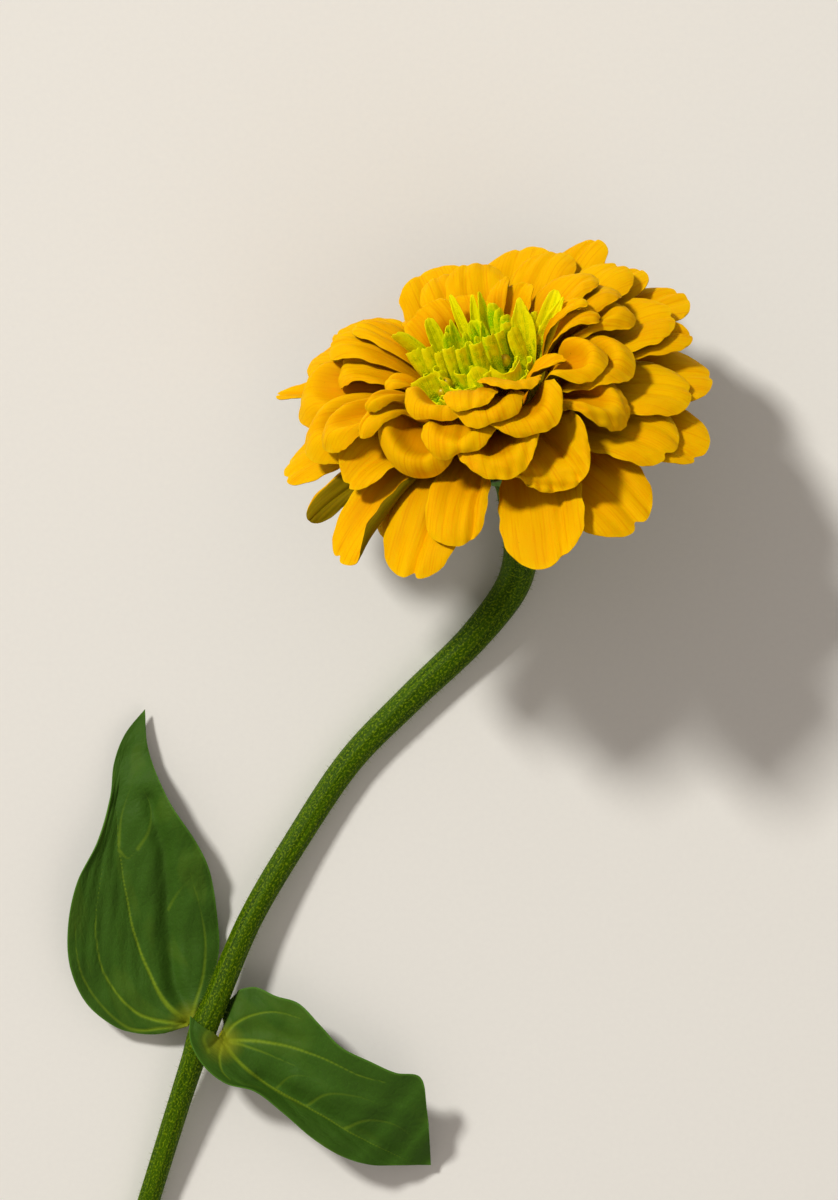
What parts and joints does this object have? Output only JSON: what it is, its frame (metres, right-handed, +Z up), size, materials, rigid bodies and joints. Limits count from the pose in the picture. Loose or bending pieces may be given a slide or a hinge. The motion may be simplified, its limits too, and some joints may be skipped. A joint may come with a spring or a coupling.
{
  "type": "zinnia flower",
  "caption": "Cut double zinnia lying on its side: layered golden ray petals round a disc of green florets, a green cup, a bent stem and a pair of leaves.",
  "frame": {"origin": "on the table under the middle of the whole flower's outline", "axes": "+Z up from the table, +Y from the stem's cut end towards the bloom, +X towards the bloom's side that leans right"},
  "size_m": [0.1302, 0.2189, 0.0672],
  "materials": {
    "petal": "matte golden yellow petal",
    "floret": "satin yellow-green floret",
    "bract": "matte green bract",
    "stem": "matte hairy green stem",
    "leaf": "matte dark green leaf"
  },
  "bodies": {
    "root": {"ray_petals": "petal", "disc_florets": "floret", "involucre": "bract", "stem": "stem", "leaf_left": "leaf", "leaf_right": "leaf"}
  },
  "joints": []
}
